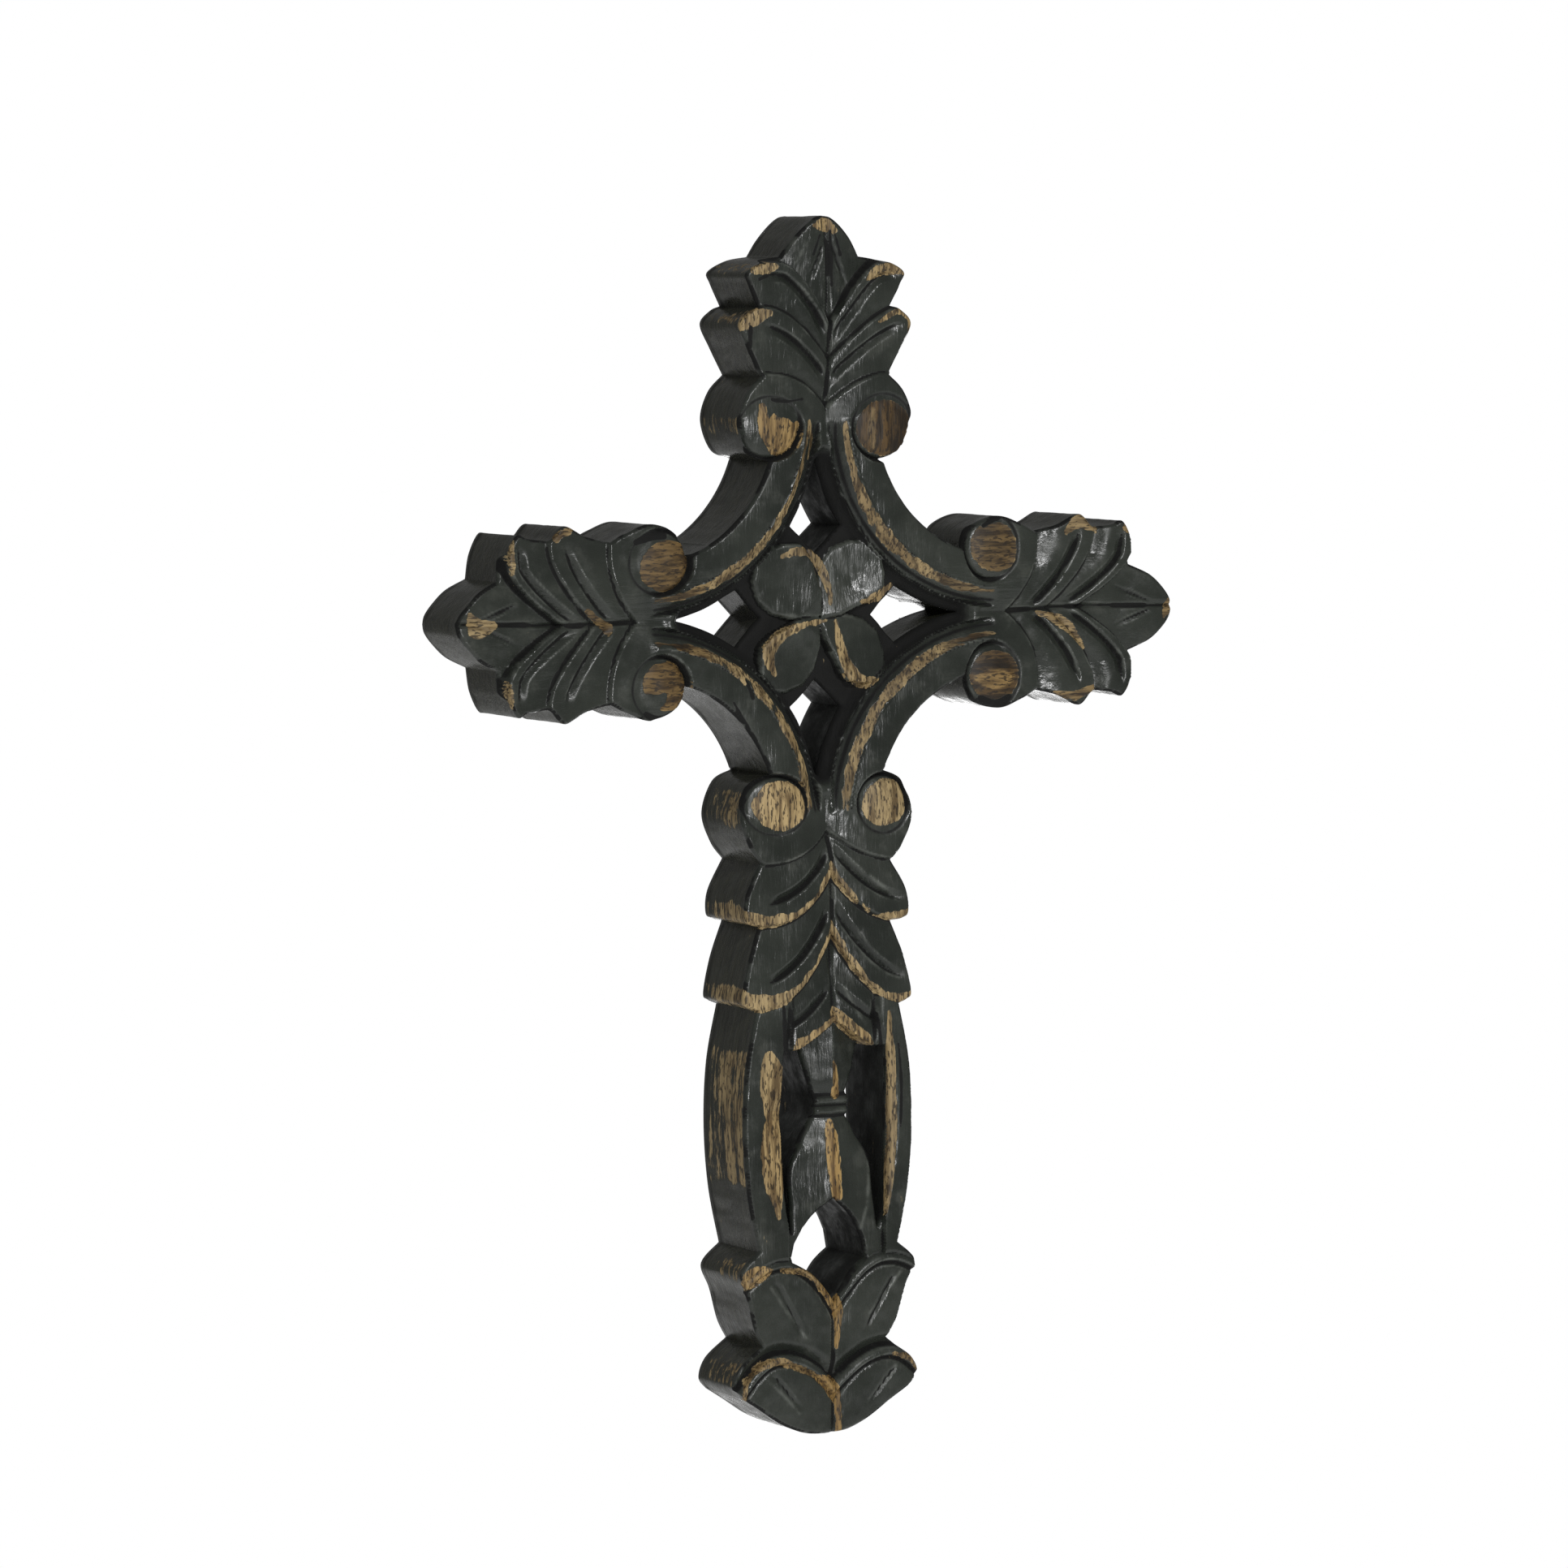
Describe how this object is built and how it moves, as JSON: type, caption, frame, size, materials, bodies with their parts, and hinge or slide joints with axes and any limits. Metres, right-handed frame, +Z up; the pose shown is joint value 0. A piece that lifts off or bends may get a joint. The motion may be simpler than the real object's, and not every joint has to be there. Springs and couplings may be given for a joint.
{
  "type": "wall cross",
  "caption": "carved wooden wall cross with leaf terminals, scrolled volutes, an openwork flower at the crossing and a pierced lower post",
  "frame": {"origin": "the crossing point of the two arms, on the flat back face that lies against the wall", "axes": "+Z up along the upright, +X to the viewer's right along the arms, +Y out of the back into the wall; the carved front faces -Y"},
  "size_m": [0.203, 0.0234, 0.306],
  "materials": {
    "painted_wood": "thin semi-gloss charcoal paint over hardwood, rubbed through to the wood on the edges",
    "bare_wood": "unfinished hardwood",
    "steel": "zinc-plated steel"
  },
  "bodies": {
    "root": {"upright": "painted_wood", "arm_left": "painted_wood", "arm_right": "painted_wood", "dowel_left_upper": "bare_wood", "dowel_left_lower": "bare_wood", "dowel_right_upper": "bare_wood", "dowel_right_lower": "bare_wood", "hanger_plate": "steel", "hanger_screw_left": "steel", "hanger_screw_right": "steel"}
  },
  "joints": []
}
